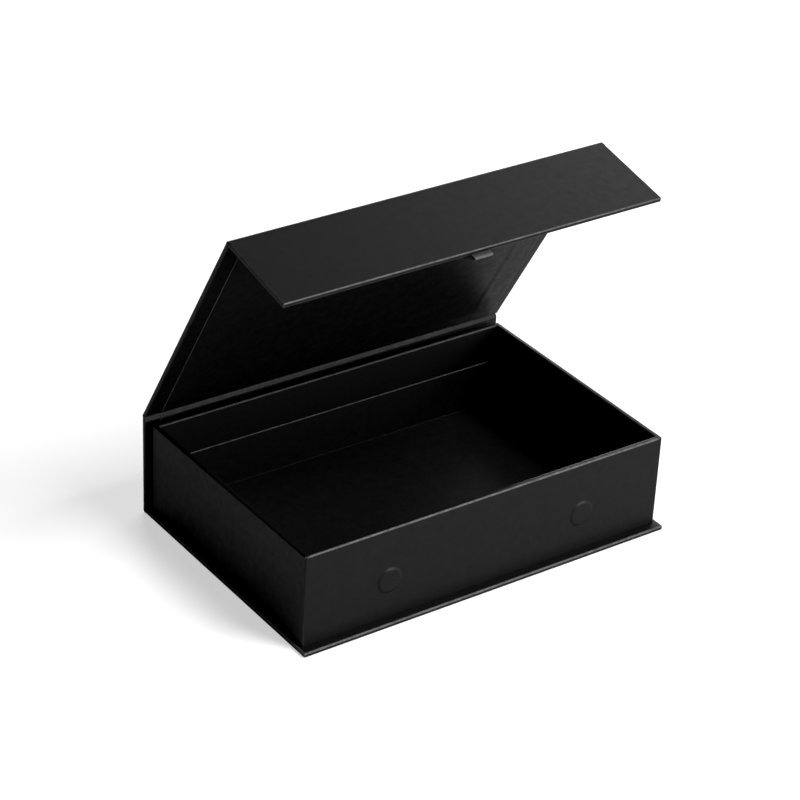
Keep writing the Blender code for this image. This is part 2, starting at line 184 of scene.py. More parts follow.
def placePiece(piece, place):
    makeActive(piece)
    piece.matrix_world = place
    bpy.ops.object.transform_apply(location=True, rotation=True, scale=True)


def dress(piece, material, body=None, replaced=(), bendBetween=None):
    piece.data.materials.clear()
    piece.data.materials.append(material)
    if replaced:
        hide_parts(*replaced)
    if bendBetween:
        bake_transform(piece)
    else:
        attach(piece, body)
    return piece


def markEdgeWearAndHighlight(piece, low, high, radius, sideWearAndHighlight, endWearAndHighlight):
    # highest along the rounded edges of a box, 0 on its faces: where handling wears the paper and where a highlight is
    # painted on the edges
    rubAndHighlight = piece.data.attributes.new("edgeWearAndHighlightMark", "FLOAT", "POINT")
    values = []
    for vertex in piece.data.vertices:
        reach = []
        for axis in range(3):
            if low[axis] is None:
                continue
            gap = min(vertex.co[axis] - low[axis], high[axis] - vertex.co[axis])
            reach.append(max(0.0, min(1.0, 1 - gap / radius)))
        atEnd = vertex.co.y < low[1] + radius
        reach.sort()
        values.append(min(1.0, reach[-2] / 0.45) * (endWearAndHighlight if atEnd else sideWearAndHighlight))
    rubAndHighlight.data.foreach_set("value", values)


# ---- materials

def newGroup(name, inputs, outputs):
    group = bpy.data.node_groups.new(name, "ShaderNodeTree")
    for title, kind, value in inputs:
        socket = group.interface.new_socket(name=title, in_out="INPUT", socket_type=kind)
        socket.default_value = value
    for title, kind in outputs:
        group.interface.new_socket(name=title, in_out="OUTPUT", socket_type=kind)
    return group, group.nodes.new("NodeGroupInput"), group.nodes.new("NodeGroupOutput")


def noise(tree, place, scale, detail=3.0, roughness=0.5):
    node = tree.nodes.new("ShaderNodeTexNoise")
    node.inputs["Scale"].default_value = scale
    node.inputs["Detail"].default_value = detail
    node.inputs["Roughness"].default_value = roughness
    tree.links.new(place, node.inputs["Vector"])
    return node.outputs["Fac"]


def maths(tree, operation, a, b=None, c=None):
    node = tree.nodes.new("ShaderNodeMath")
    node.operation = operation
    for socket, value in zip(node.inputs, (a, b, c)):
        if value is None:
            continue
        if isinstance(value, (int, float)):
            socket.default_value = value
        else:
            tree.links.new(value, socket)
    return node.outputs[0]


def spread(tree, value, low, high, toLow, toHigh):
    node = tree.nodes.new("ShaderNodeMapRange")
    for title, number in (("From Min", low), ("From Max", high), ("To Min", toLow), ("To Max", toHigh)):
        node.inputs[title].default_value = number
    tree.links.new(value, node.inputs["Value"])
    return node.outputs[0]


def mixColour(tree, factor, a, b):
    node = tree.nodes.new("ShaderNodeMix")
    node.data_type = "RGBA"
    for socket, value in ((node.inputs[0], factor), (node.inputs[6], a), (node.inputs[7], b)):
        if isinstance(value, (int, float)):
            socket.default_value = value
        elif isinstance(value, tuple):
            socket.default_value = (*value, 1.0)
        else:
            tree.links.new(value, socket)
    return node.outputs[2]


def stretched(tree, place, scale):
    node = tree.nodes.new("ShaderNodeMapping")
    node.inputs["Scale"].default_value = scale
    tree.links.new(place, node.inputs["Vector"])
    return node.outputs["Vector"]


def makePaperGrain():
    # uncoated dyed paper: cloudy mottle, short fibres, a fine tooth
    group, given, result = newGroup(
        "paperGrain",
        [("Tone", "NodeSocketColor", (0.015, 0.015, 0.0155, 1)), ("Cloud", "NodeSocketFloat", 0.3),
         ("Fibre", "NodeSocketFloat", 0.4), ("Gloss", "NodeSocketFloat", 0.5)],
        [("Color", "NodeSocketColor"), ("Roughness", "NodeSocketFloat"), ("Height", "NodeSocketFloat")],
    )
    place = group.nodes.new("ShaderNodeTexCoord").outputs["Object"]
    cloud = noise(group, place, 230, 5, 0.65)
    tooth = noise(group, place, 2600, 3, 0.6)
    alongX = noise(group, stretched(group, place, (0.22, 1, 1)), 2200, 2, 0.55)
    alongY = noise(group, stretched(group, place, (1, 0.22, 0.22)), 2200, 2, 0.55)
    fibre = maths(group, "MAXIMUM", alongX, alongY)
    fibreMask = spread(group, fibre, 0.56, 0.74, 0, 1)
    cloudPart = maths(group, "MULTIPLY", spread(group, cloud, 0.3, 0.7, -1, 1), given.outputs["Cloud"])
    fibrePart = maths(group, "MULTIPLY", fibreMask, given.outputs["Fibre"])
    amount = maths(group, "ADD", maths(group, "ADD", cloudPart, fibrePart), 1.0)
    scaled = group.nodes.new("ShaderNodeVectorMath")
    scaled.operation = "SCALE"
    group.links.new(given.outputs["Tone"], scaled.inputs[0])
    group.links.new(amount, scaled.inputs["Scale"])
    group.links.new(scaled.outputs[0], result.inputs["Color"])
    sheen = maths(group, "ADD", given.outputs["Gloss"], spread(group, cloud, 0.3, 0.7, 0.06, -0.06))
    group.links.new(maths(group, "ADD", sheen, spread(group, tooth, 0.3, 0.7, 0.03, -0.03)), result.inputs["Roughness"])
    height = maths(group, "ADD", maths(group, "MULTIPLY", tooth, 0.6), maths(group, "MULTIPLY", fibre, 0.4))
    group.links.new(height, result.inputs["Height"])
    return group


def makeEdgeWearAndHighlight():
    # handling polishes the paper where it runs round an edge, and the lighter colour there is wear together with a
    # painted highlight
    group, given, result = newGroup(
        "edgeWearAndHighlight",
        [("Color", "NodeSocketColor", (0.015, 0.015, 0.015, 1)), ("WornAndLit", "NodeSocketColor", (0.05, 0.05, 0.05, 1)),
         ("Amount", "NodeSocketFloat", 0.5), ("Roughness", "NodeSocketFloat", 0.5)],
        [("Color", "NodeSocketColor"), ("Roughness", "NodeSocketFloat")],
    )
    place = group.nodes.new("ShaderNodeTexCoord").outputs["Object"]
    mark = group.nodes.new("ShaderNodeAttribute")
    mark.attribute_name = "edgeWearAndHighlightMark"
    patchy = spread(group, noise(group, place, 260, 4, 0.65), 0.34, 0.62, 0.45, 1)
    rubAndHighlight = maths(group, "MULTIPLY", maths(group, "MULTIPLY", mark.outputs["Fac"], patchy), given.outputs["Amount"])
    group.links.new(mixColour(group, rubAndHighlight, given.outputs["Color"], given.outputs["WornAndLit"]), result.inputs["Color"])
    smoother = maths(group, "MULTIPLY_ADD", rubAndHighlight, -0.12, given.outputs["Roughness"])
    group.links.new(smoother, result.inputs["Roughness"])
    return group


paperGrain = makePaperGrain()
edgeWearAndHighlight = makeEdgeWearAndHighlight()


def newMaterial(name):
    material = bpy.data.materials.new(name)
    material.use_nodes = True
    tree = material.node_tree
    return material, tree, tree.nodes["Principled BSDF"]


def addBump(tree, shader, height, strength, distance):
    bump = tree.nodes.new("ShaderNodeBump")
    bump.inputs["Strength"].default_value = strength
    bump.inputs["Distance"].default_value = distance
    tree.links.new(height, bump.inputs["Height"])
    tree.links.new(bump.outputs["Normal"], shader.inputs["Normal"])


def paperMaterial(name, tone, wornAndLit, amount, gloss, cloud, fibre, tooth, specular=0.5):
    material, tree, shader = newMaterial(name)
    grain = tree.nodes.new("ShaderNodeGroup")
    grain.node_tree = paperGrain
    grain.inputs["Tone"].default_value = (*tone, 1)
    grain.inputs["Cloud"].default_value = cloud
    grain.inputs["Fibre"].default_value = fibre
    grain.inputs["Gloss"].default_value = gloss
    wearAndHighlight = tree.nodes.new("ShaderNodeGroup")
    wearAndHighlight.node_tree = edgeWearAndHighlight
    wearAndHighlight.inputs["WornAndLit"].default_value = (*wornAndLit, 1)
    wearAndHighlight.inputs["Amount"].default_value = amount
    tree.links.new(grain.outputs["Color"], wearAndHighlight.inputs["Color"])
    tree.links.new(grain.outputs["Roughness"], wearAndHighlight.inputs["Roughness"])
    tree.links.new(wearAndHighlight.outputs["Color"], shader.inputs["Base Color"])
    # the fibres of matt paper scatter what a smooth sheet would mirror edge-on
    edgeOn = tree.nodes.new("ShaderNodeLayerWeight").outputs["Facing"]
    rougher = maths(tree, "ADD", wearAndHighlight.outputs["Roughness"], spread(tree, edgeOn, 0.72, 0.95, 0, 0.5))
    tree.links.new(rougher, shader.inputs["Roughness"])
    shader.inputs["Specular IOR Level"].default_value = specular
    addBump(tree, shader, grain.outputs["Height"], 0.35, tooth)
    return material


# each paper's worn colour is mixed in along marked edges, both as wear and as a painted highlight
papers = {
    "wrap": {"tone": (0.0050, 0.0050, 0.0051), "wornAndLit": (0.27, 0.27, 0.272), "amount": 0.8, "gloss": 0.44,
             "cloud": 0.2, "fibre": 0.5, "tooth": 0.00005, "specular": 0.12},
    "lining": {"tone": (0.0066, 0.0066, 0.0067), "wornAndLit": (0.11, 0.11, 0.11), "amount": 0.8, "gloss": 0.44,
               "cloud": 0.2, "fibre": 0.45, "tooth": 0.00004, "specular": 0.113},
    "tape": {"tone": (0.42, 0.31, 0.19), "wornAndLit": (0.5, 0.4, 0.28), "amount": 0.3, "gloss": 0.6,
             "cloud": 0.15, "fibre": 0.4, "tooth": 0.00006},
    "board": {"tone": (0.27, 0.25, 0.22), "wornAndLit": (0.4, 0.38, 0.34), "amount": 0.3, "gloss": 0.85,
              "cloud": 0.3, "fibre": 0.6, "tooth": 0.00015},
}
wrapPaper = paperMaterial("blackWrapPaper", **papers["wrap"])
liningPaper = paperMaterial("blackLiningPaper", **papers["lining"])
cornerTape = paperMaterial("gummedCornerTape", **papers["tape"])
greyBoard = paperMaterial("pressedGreyBoard", **papers["board"])


def metalMaterial(name, colour, roughness, streaks):
    material, tree, shader = newMaterial(name)
    shader.inputs["Metallic"].default_value = 1.0
    place = tree.nodes.new("ShaderNodeTexCoord").outputs["Object"]
    brushed = noise(tree, stretched(tree, place, streaks), 1800, 3, 0.6)
    cloud = noise(tree, place, 300, 3, 0.5)
    tree.links.new(mixColour(tree, cloud, tuple(0.8 * c for c in colour), colour), shader.inputs["Base Color"])
    tree.links.new(spread(tree, brushed, 0.3, 0.7, roughness - 0.08, roughness + 0.1), shader.inputs["Roughness"])
    addBump(tree, shader, brushed, 0.2, 0.00001)
    return material


plainSteel = metalMaterial("plainSteel", (0.56, 0.57, 0.58), 0.38, (0.05, 1, 1))
nickelPlate = metalMaterial("nickelPlate", (0.62, 0.61, 0.58), 0.22, (1, 1, 1))


def ribbonMaterial():
    # grosgrain-like weave: fine ribs across the ribbon, with a soft silk sheen
    material, tree, shader = newMaterial("wovenRibbon")
    weave = {"ribs": 2600, "threads": 1900}
    place = tree.nodes.new("ShaderNodeUVMap").outputs["UV"]
    split = tree.nodes.new("ShaderNodeSeparateXYZ")
    tree.links.new(place, split.inputs[0])
    rib = maths(tree, "SINE", maths(tree, "MULTIPLY", split.outputs["Y"], weave["ribs"] * 2 * math.pi))
    thread = maths(tree, "SINE", maths(tree, "MULTIPLY", split.outputs["X"], weave["threads"] * 2 * math.pi))
    height = maths(tree, "ADD", rib, maths(tree, "MULTIPLY", thread, 0.4))
    tone = mixColour(tree, spread(tree, height, -1.4, 1.4, 0, 1), (0.025, 0.025, 0.026), (0.05, 0.05, 0.052))
    # painted highlight: the fold and selvedges are coloured lighter
    foldHighlight = tree.nodes.new("ShaderNodeAttribute")
    foldHighlight.attribute_name = "foldHighlight"
    tone = mixColour(tree, foldHighlight.outputs["Fac"], tone, (0.1, 0.1, 0.102))
    # painted shade: the loop's inside and lower leg are coloured near black
    inside = tree.nodes.new("ShaderNodeAttribute")
    inside.attribute_name = "inside"
    tree.links.new(mixColour(tree, inside.outputs["Fac"], tone, (0.002, 0.002, 0.002)), shader.inputs["Base Color"])
    tree.links.new(spread(tree, rib, -1, 1, 0.5, 0.36), shader.inputs["Roughness"])
    shader.inputs["Specular IOR Level"].default_value = 0.12
    addBump(tree, shader, height, 0.5, 0.00008)
    return material


silkRibbon = ribbonMaterial()
print("materials made")


# ---- the cover's wrapped boards

def wrapBoard(name, node, body, place, start, stop, wearAndHighlight, freeEnd=False, r=cover["edgeRadius"]):
    half, thick = cover["width"] / 2, cover["thick"]
    turn = cover["turnIn"]
    piece = addBlock(name, (-half, stop, -thick), (half, start, 0))
    tiny = 1e-5

    def foldEnd(centre, normal):
        return centre.y > start - tiny or (not freeEnd and centre.y < stop + tiny)

    pick(piece, "FACE", foldEnd)
    bpy.ops.mesh.delete(type="FACE")
    closeEdit()

    def wornAndLit(middle, along):
        sideEdge = abs(along.y) > 0.9 and abs(middle.x) > half - tiny
        endEdge = freeEnd and middle.y < stop + tiny
        return sideEdge or endEdge

    pick(piece, "EDGE", wornAndLit)
    bpy.ops.mesh.bevel(offset=r, segments=5, affect="EDGES", clamp_overlap=False)
    closeEdit()
    cutAll(piece, (half - turn, 0, 0), (1, 0, 0))
    cutAll(piece, (turn - half, 0, 0), (1, 0, 0))
    if freeEnd:
        cutAll(piece, (0, stop + turn, 0), (0, 1, 0))

    def open_(centre, normal):
        inMiddle = abs(centre.x) < half - turn and (not freeEnd or centre.y > stop + turn)
        return inMiddle and centre.z < tiny - thick

    pick(piece, "FACE", open_)
    bpy.ops.mesh.delete(type="FACE")
    closeEdit()
    thicken(piece, cover["paper"])
    low = (-half, stop if freeEnd else stop - 1, -thick)
    markEdgeWearAndHighlight(piece, low, (half, start + 1, 0), r, *wearAndHighlight)
    smooth(piece)
    placePiece(piece, place)
    return dress(piece, wrapPaper, body, (node,))


near, far = cover["foldSetback"], cover["boardSetback"]
# amounts of wear and of painted highlight along each board's edges
wearAndHighlight = {"base": (0.32, 0.35), "spine": (0.05, 0), "lid": (0.05, 0), "flap": (0.2, 0.35)}   # sides, free end
wrapBoard(
    "baseWrap", "base_wrap", "tray", basePlace, -far, -cover["baseDepth"], wearAndHighlight["base"], True, cover["baseRadius"]
)
wrapBoard("spineWrap", "spine_wrap", "spine", spinePlace, -near, near - cover["spineLength"], wearAndHighlight["spine"])
wrapBoard("lidWrap", "lid_wrap", "lid", lidPlace, -far, far - cover["lidLength"], wearAndHighlight["lid"])
wrapBoard("flapWrap", "flap_wrap", "flap", flapPlace, -near, -cover["flapLength"], wearAndHighlight["flap"], True)
print("boards wrapped")


# ---- the lining, glued over the turned-in margins, which show through it as a low step

lining = {
    "insetLeft": 9.5 * mm,
    "insetRight": 6.3 * mm,
    "insetFree": 4.0 * mm,
    "creaseStop": 4.0 * mm,
    "thick": 0.25 * mm,
    "stepDepth": 0.13 * mm,
    "stepWidth": 3.0 * mm,
    "ridge": 0.05 * mm,
    "cell": 0.7 * mm,
}
magnets = {"spacing": 122 * mm, "along": 34.45 * mm, "radius": 6.8 * mm, "rim": 0.9 * mm, "rise": 0.1 * mm}
ribbon = {
    "width": 10.8 * mm,
    "thick": 0.3 * mm,
    "tongue": 9.0 * mm,
    "reach": 2.9 * mm,
    "bend": 0.42 * mm,
    "skew": -4.4 * mm,
    "across": 0.7 * mm,
}


def ease(value):
    value = max(0.0, min(1.0, value))
    return value * value * (3 - 2 * value)


def sheetColumns(piece, xCuts, yCuts):
    for x in xCuts:
        cutAll(piece, (x, 0, 0), (1, 0, 0))
    for y in yCuts:
        cutAll(piece, (0, y, 0), (0, 1, 0))


def liningSheet(name, node, body, place, start, stop, sag, xCuts=(), yCuts=()):
    # sag gives how far the sheet lies below the margins' level at a point
    half = cover["width"] / 2
    low, high = lining["insetLeft"] - half, half - lining["insetRight"]
    top = -cover["thick"] - 0.01 * mm
    piece = addSheet(name, (low, stop), (high, start), top)
    edge = 0.12 * mm
    sheetColumns(piece, [low + edge, low + 3 * edge, *xCuts, high - 3 * edge, high - edge], yCuts)
    for vertex in piece.data.vertices:
        vertex.co.z += sag(vertex.co.x, vertex.co.y)
    thicken(piece, lining["thick"])
    softenEdges(piece, 0.08 * mm)
    # the sheet's two side edges are lightened: a painted highlight
    rubAndHighlight = piece.data.attributes.new("edgeWearAndHighlightMark", "FLOAT", "POINT")
    for vertex, value in zip(piece.data.vertices, rubAndHighlight.data):
        value.value = 1.0 if vertex.co.x < low + 1.1 * edge or vertex.co.x > high - 1.1 * edge else 0.0
    smooth(piece, 30)
    placePiece(piece, place)
    return dress(piece, liningPaper, body, (node,))


def marginSag(x):
    past = abs(x) - (cover["width"] / 2 - cover["turnIn"])
    width = lining["stepWidth"]
    ridge = lining["ridge"] * (ease((past + width / 2) / width) - ease((past - width / 2) / width))
    return lining["stepDepth"] * ease((width / 2 - past) / width) - ridge


def evenly(low, high, cell):
    count = max(1, round((high - low) / cell))
    return [low + (high - low) * i / count for i in range(1, count)]


stepEdge = cover["width"] / 2 - cover["turnIn"]
stepCuts = [sign * (stepEdge + lining["stepWidth"] * (i / 6 - 0.5)) for sign in (-1, 1) for i in range(-1, 14)]
liningSheet(
    "spineLining", "spine_liner", "spine", spinePlace, -near, near - cover["spineLength"],
    lambda x, y: marginSag(x), stepCuts,
)
liningSheet(
    "lidLining", "lid_liner", "lid", lidPlace, -far, lining["creaseStop"] - cover["lidLength"],
    lambda x, y: marginSag(x), stepCuts,
)


def flapSag(x, y):
    # margins on three sides, two magnets and the ribbon's tongue press through the lining
    half, width = cover["width"] / 2, lining["stepWidth"]
    depth = min(
        ease((half - cover["turnIn"] + width / 2 - abs(x)) / width),
        ease((y + cover["flapLength"] - cover["turnIn"] + width / 2) / width),
    )
    height = lining["stepDepth"] * depth
    away = math.hypot(abs(x) - magnets["spacing"] / 2, y + magnets["along"])
    height -= magnets["rise"] * ease((magnets["radius"] + magnets["rim"] - away) / magnets["rim"])
    acrossTongue = ease((ribbon["width"] / 2 + 1.2 * mm - abs(x - ribbon["across"])) / (1.2 * mm))
    alongTongue = ease((ribbon["tongue"] + 1.5 * mm - (y + cover["flapLength"])) / (1.5 * mm))
    return height - ribbon["thick"] * 2.1 * acrossTongue * alongTongue


flapCell = lining["cell"]
liningSheet(
    "flapLining", "flap_liner", "flap", flapPlace, -near, lining["insetFree"] - cover["flapLength"], flapSag,
    evenly(-105.3 * mm, 108.5 * mm, flapCell),
    evenly(lining["insetFree"] - cover["flapLength"], -near, flapCell),
)
print("lining glued in")


# ---- paper and lining across the three folds

folds = {"steps": 12, "radius": 1.5 * mm, "dent": 0.2 * mm, "grooveFloor": 0.5 * mm, "lip": 0.3 * mm,
         "linerBend": 0.55 * mm, "wearAndHighlightReach": 1.3 * mm, "capCuts": 20}


def onPanel(turn, along, depth):
    # a point on the panel beyond a fold whose corner is at zero
    angle = math.radians(turn)
    return (
        -along * math.cos(angle) + depth * math.sin(angle),
        -along * math.sin(angle) - depth * math.cos(angle),
    )


def bentPath(before, after, turn, depth, radius, dent=0.0):
    # straight, round the corner, straight; the wider gap is pressed in a little between the boards
    angle = math.radians(turn)
    reach = (depth + radius) * math.tan(angle / 2)
    path = []
    count = 6
    for i in range(count):
        t = i / count
        y = before + (reach - before) * t
        path.append((y, -depth - dent * math.sin(math.pi * t) ** 2))
    for i in range(folds["steps"] + 1):
        a = angle * i / folds["steps"]
        path.append((reach - radius * math.sin(a), radius * (math.cos(a) - 1) - depth))
    for i in range(1, count + 1):
        t = i / count
        path.append(onPanel(turn, reach + (after - reach) * t, depth + dent * math.sin(math.pi * t) ** 2))
    return path


def groovePath(before, after, turn, depth):
    # over one board's edge, down to the outer sheet, and up again over the other board's edge
    half = math.radians(turn) / 2
    low = folds["grooveFloor"] + depth - (cover["thick"] - cover["paper"])
    corners = [
        (before, -depth),
        (before - folds["lip"], -depth),
        (low * math.sin(half), -low * math.cos(half)),
        onPanel(turn, after - folds["lip"], depth),
        onPanel(turn, after, depth),
    ]
    radii = (0.5 * mm, 0.8 * mm, 0.35 * mm)
    path = [corners[0]]
    for i, radius in enumerate(radii, 1):
        here, back, ahead = (Vector(corners[k]) for k in (i, i - 1, i + 1))
        u, v = (back - here).normalized(), (ahead - here).normalized()
        wedge = u.angle(v) / 2
        reach = min(radius / math.tan(wedge), 0.95 * (back - here).length, 0.95 * (ahead - here).length)
        centre = here + (u + v).normalized() * reach / math.cos(wedge)
        first, final = here + u * reach - centre, here + v * reach - centre
        path += [tuple(centre + first.slerp(final, k / 5).normalized() * first.length) for k in range(6)]
    return path + [corners[-1]]


def foldStrip(name, low, high, path, thickness):
    # a narrow plane, extruded edge by edge along the path
    piece = addSheet(name, (low, 0), (high, 1), 0)
    for vertex in piece.data.vertices:
        y, z = path[0] if vertex.co.y < 0.5 else path[1]
        vertex.co.y, vertex.co.z = y, z
    last = path[1]
    for point in path[2:]:
        def atLast(middle, along):
            return abs(along.x) > 0.9 and abs(middle.y - last[0]) < 1e-6 and abs(middle.z - last[1]) < 1e-6

        pick(piece, "EDGE", atLast)
        move = (0, point[0] - last[0], point[1] - last[1])
        bpy.ops.mesh.extrude_region_move(TRANSFORM_OT_translate={"value": move})
        closeEdit()
        last = point
    makeActive(piece)
    bpy.ops.object.mode_set(mode="EDIT")
    bpy.ops.mesh.select_all(action="SELECT")
    bpy.ops.mesh.normals_make_consistent(inside=False)
    closeEdit()
    # the outer face looks away from the boards
    first = piece.data.polygons[0]
    outward = Vector((0, path[0][1] - path[1][1], path[1][0] - path[0][0]))
    if first.normal.dot(outward) > 0:
        bpy.ops.object.mode_set(mode="EDIT")
        bpy.ops.mesh.flip_normals()
        closeEdit()
    thicken(piece, thickness)
    return piece


def joinPieces(main, *others):
    deselectAll()
    for other in others:
        other.select_set(True)
    main.select_set(True)
    bpy.context.view_layer.objects.active = main
    bpy.ops.object.join()
    return main


def markWhole(piece, amount):
    rubAndHighlight = piece.data.attributes.get("edgeWearAndHighlightMark") or piece.data.attributes.new("edgeWearAndHighlightMark", "FLOAT", "POINT")
    rubAndHighlight.data.foreach_set("value", [amount] * len(piece.data.vertices))


def bendPiece(piece, place, bodies, path, replaced, material):
    smooth(piece, 50, weighted=False)
    placePiece(piece, place)
    start, end = (place @ Vector((0, *path[i])) for i in (0, -1))
    return dress(piece, material, None, replaced, (*bodies, tuple(start), tuple(end)))


def markBendWearAndHighlight(piece, amount):
    # worn and lightened by a painted highlight only where the sheet runs round the corner
    rubAndHighlight = piece.data.attributes.get("edgeWearAndHighlightMark") or piece.data.attributes.new("edgeWearAndHighlightMark", "FLOAT", "POINT")
    for vertex, value in zip(piece.data.vertices, rubAndHighlight.data):
        value.value = amount * max(0.0, 1 - math.hypot(vertex.co.y, vertex.co.z) / folds["wearAndHighlightReach"])


half = cover["width"] / 2
liningLow, liningHigh = lining["insetLeft"] - half, half - lining["insetRight"]
thick, paper = cover["thick"], cover["paper"]
lidFoldPlace = spinePlace @ Matrix.Translation((0, -cover["spineLength"], 0))
flapFoldPlace = lidPlace @ Matrix.Translation((0, -cover["lidLength"], 0))


def resampled(path, count):
    # the same polyline with evenly spaced points
    points = [Vector(point) for point in path]
    lengths = [0.0]
    for p, q in zip(points, points[1:]):
        lengths.append(lengths[-1] + (q - p).length)
    result = []
    for i in range(count):
        want = lengths[-1] * i / (count - 1)
        k = max(j for j in range(len(points) - 1) if lengths[j] <= want + 1e-12)
        step = lengths[k + 1] - lengths[k]
        result.append(tuple(points[k].lerp(points[k + 1], min(1.0, (want - lengths[k]) / step) if step else 0.0)))
    return result


def edgeCap(sign, outer, inner):
    # the sheet's rounded side edge between its outer face and its turned-in margin
    count = min(len(outer), len(inner))
    pairs = []
    for i in range(count):
        a = outer[round(i * (len(outer) - 1) / (count - 1))]
        b = inner[round(i * (len(inner) - 1) / (count - 1))]
        pairs.append((a, b))
    name = "leftCap" if sign < 0 else "rightCap"
    piece = addSheet(name, (0, 0), (1, 1), 0)
    makeActive(piece)
    bpy.ops.object.mode_set(mode="EDIT")
    bpy.ops.mesh.subdivide(number_cuts=count - 2)
    closeEdit()
    # lay a grid of count by count over the edge: one way along the fold, the other round the edge
    cells = count - 1
    for vertex in piece.data.vertices:
        along = round(vertex.co.x * cells)
        around = vertex.co.y
        (ay, az), (by, bz) = pairs[along]
        bulge = math.sin(math.pi * around) ** 0.5
        mix = (1 - math.cos(math.pi * around)) / 2
        y, z = ay + (by - ay) * mix, az + (bz - az) * mix
        vertex.co = Vector((sign * (half - 0.6 * mm + 0.6 * mm * bulge), y, z))
    makeActive(piece)
    bpy.ops.object.mode_set(mode="EDIT")
    bpy.ops.mesh.select_all(action="SELECT")
    bpy.ops.mesh.normals_make_consistent(inside=False)
    closeEdit()
    sideways = max(piece.data.polygons, key=lambda face: abs(face.normal.x))
    if sideways.normal.x * sign < 0:
        bpy.ops.object.mode_set(mode="EDIT")
        bpy.ops.mesh.flip_normals()
        closeEdit()
    thicken(piece, paper, even=False)
    return piece


def wrappedFold(name, place, bodies, outer, margin, capPaths, amount, replaced):
    # the outer sheet, its two turned-in margins on the inside, and its rounded side edges
    inset = 0.3 * mm
    piece = foldStrip(name, inset - half, half - inset, outer, paper)
    others = [
        foldStrip("leftMargin", inset - half, cover["turnIn"] - half, margin, paper),
        foldStrip("rightMargin", half - cover["turnIn"], half - inset, margin, paper),
    ]
    others += [edgeCap(sign, *capPaths) for sign in (-1, 1)]
    joinPieces(piece, *others)
    markBendWearAndHighlight(piece, amount)
    bendPiece(piece, place, bodies, outer, replaced, wrapPaper)


def closedFold(name, place, bodies, stops, marginStops, turn, amount, replaced):
    outer = bentPath(*stops, turn, 0, folds["radius"])
    margin = bentPath(*marginStops, turn, thick - paper + 0.02 * mm, folds["linerBend"])
    reach = min(stops[0], stops[1], thick * math.tan(math.radians(turn) / 2))
    inner = [(stops[0], -thick), (reach, -thick), onPanel(turn, reach, thick), onPanel(turn, stops[1], thick)]
    inner = [point for i, point in enumerate(inner) if i == 0 or math.dist(point, inner[i - 1]) > 1e-6]
    capPaths = [resampled(path, folds["capCuts"]) for path in (outer, inner)]
    wrappedFold(name, place, bodies, outer, margin, capPaths, amount, replaced)


closedFold(
    "footFoldPaper", footPlace, ("spine", "tray"), (near, far), (near, 5.3 * mm), cover["spineTurn"], 0.05,
    ["foot_fold_paper"],
)
closedFold(
    "flapFoldPaper", flapFoldPlace, ("lid", "flap"), (far, near), (lining["creaseStop"], near), cover["flapTurn"],
    0.2, ["flap_fold_paper"],
)


def groovedFold():
    turn = cover["lidTurn"]
    outer = bentPath(near, far, turn, 0, folds["radius"], folds["dent"])
    inner = groovePath(near, far, turn, thick)
    margin = groovePath(near, far, turn, thick - paper)
    wrappedFold(
        "lidFoldPaper", lidFoldPlace, ("spine", "lid"), outer, margin, (outer, inner), 0.06, ["lid_fold_paper"]
    )


groovedFold()


def innerFold(name, place, bodies, path, replaced):
    piece = foldStrip(name, liningLow, liningHigh, path, lining["thick"])
    markWhole(piece, 0.0)
    return bendPiece(piece, place, bodies, path, replaced, liningPaper)


liningDepth = thick + 0.01 * mm
innerFold(
    "lidFoldLining", lidFoldPlace, ("spine", "lid"), groovePath(near, far, cover["lidTurn"], liningDepth),
    ["lid_fold_liner"],
)
innerFold(
    "flapFoldLining", flapFoldPlace, ("lid", "flap"),
    bentPath(lining["creaseStop"], near, cover["flapTurn"], liningDepth, folds["linerBend"]), ["flap_fold_liner"],
)
footLow, footHigh = -liningHigh, -liningLow
footPath = bentPath(near, 5.3 * mm, cover["spineTurn"], liningDepth, 0.5 * mm)
footLining = foldStrip("footFoldLining", footLow, footHigh, footPath, lining["thick"])
markWhole(footLining, 0.0)
bendPiece(footLining, footPlace, ("spine", "tray"), footPath, ["foot_fold_liner"], liningPaper)
print("folds bent")


# ---- the tray

tray = {
    "width": 225 * mm,
    "front": -73.05 * mm,
    "back": 72.95 * mm,
    "floor": 2.8 * mm,
    "rim": 55.8 * mm,
    "wall": 2.92 * mm,
    "turnIn": 26 * mm,
    "underMargin": 18 * mm,
    "rimRadius": 0.9 * mm,
    "cornerRadius": 0.6 * mm,
}
discs = {"spacing": 122 * mm, "drop": 30.8 * mm, "flat": 5.9 * mm, "foot": 7.9 * mm, "rise": 0.65 * mm,
         "patch": 8.6 * mm, "cuts": 68}


